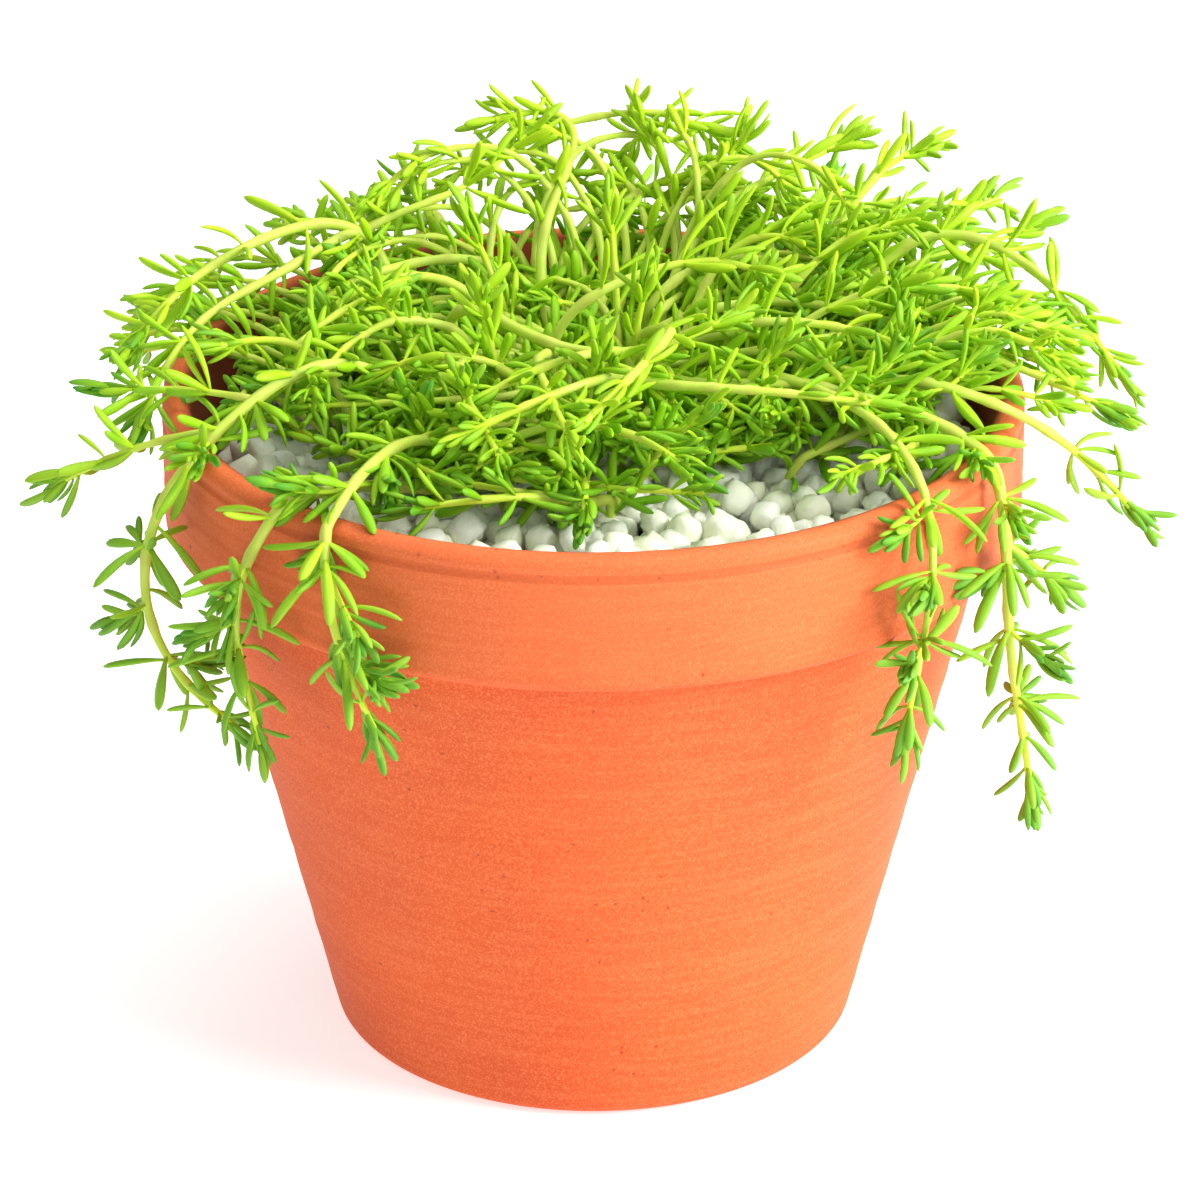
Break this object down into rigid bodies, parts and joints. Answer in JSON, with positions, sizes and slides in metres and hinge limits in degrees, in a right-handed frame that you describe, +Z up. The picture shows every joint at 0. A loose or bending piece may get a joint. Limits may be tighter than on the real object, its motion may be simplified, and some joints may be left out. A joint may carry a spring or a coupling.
{
  "type": "potted sedum",
  "caption": "Trailing sedum in a round clay pot with a wide collar; leafy shoots arch up from white stones and hang over the rim.",
  "frame": {"origin": "centre of the pot's underside, where it stands; the pot's axis is the Z axis", "axes": "+Z up the pot's axis; -Y is the front, where two groups of shoots hang left and right of the open middle; +X is to the right seen from the front"},
  "size_m": [0.2026, 0.1631, 0.1632],
  "materials": {
    "terracotta": "unglazed fired clay, matt, with fine pits and faint turning rings",
    "soil": "dark crumbly potting soil",
    "white_stone": "off-white rounded stones, satin",
    "sedum_green": "fleshy leaves and stems, satin, yellow-green on the stems and deeper green at the tips"
  },
  "bodies": {
    "root": {"terracotta_pot": "terracotta", "potting_soil": "soil", "shoot_left_arch": "sedum_green", "shoot_left_trailing": "sedum_green", "shoot_left_front_trailing": "sedum_green", "shoot_front_left_trailing": "sedum_green", "shoot_left_inner": "sedum_green", "shoot_left_short": "sedum_green", "shoot_back_arch": "sedum_green", "shoot_back_curl": "sedum_green", "shoot_back_right_long": "sedum_green", "shoot_back_right_upright": "sedum_green", "shoot_right_upright": "sedum_green", "shoot_right_arch": "sedum_green", "shoot_right_crossing": "sedum_green", "shoot_right_trailing": "sedum_green", "shoot_right_reaching": "sedum_green", "shoot_right_low": "sedum_green", "shoot_right_inner": "sedum_green", "shoot_right_shoulder": "sedum_green", "shoot_right_mound": "sedum_green", "shoot_right_back_mound": "sedum_green", "shoot_top_long": "sedum_green", "shoot_front_arch": "sedum_green", "shoot_front_low": "sedum_green", "shoot_front_creeping": "sedum_green", "shoot_front_short": "sedum_green", "shoot_front_left_tuft": "sedum_green", "shoot_back_left_trailing": "sedum_green", "shoot_back_leaning": "sedum_green", "shoot_back_right_trailing": "sedum_green", "shoot_back_left_low": "sedum_green", "crown_shoot_01": "sedum_green", "crown_shoot_02": "sedum_green", "crown_shoot_03": "sedum_green", "crown_shoot_04": "sedum_green", "crown_shoot_05": "sedum_green", "crown_shoot_06": "sedum_green", "crown_shoot_07": "sedum_green", "crown_shoot_08": "sedum_green", "crown_shoot_09": "sedum_green", "crown_shoot_10": "sedum_green", "crown_shoot_11": "sedum_green", "crown_shoot_12": "sedum_green", "crown_shoot_13": "sedum_green", "crown_shoot_14": "sedum_green", "white_gravel": "white_stone"}
  },
  "joints": []
}
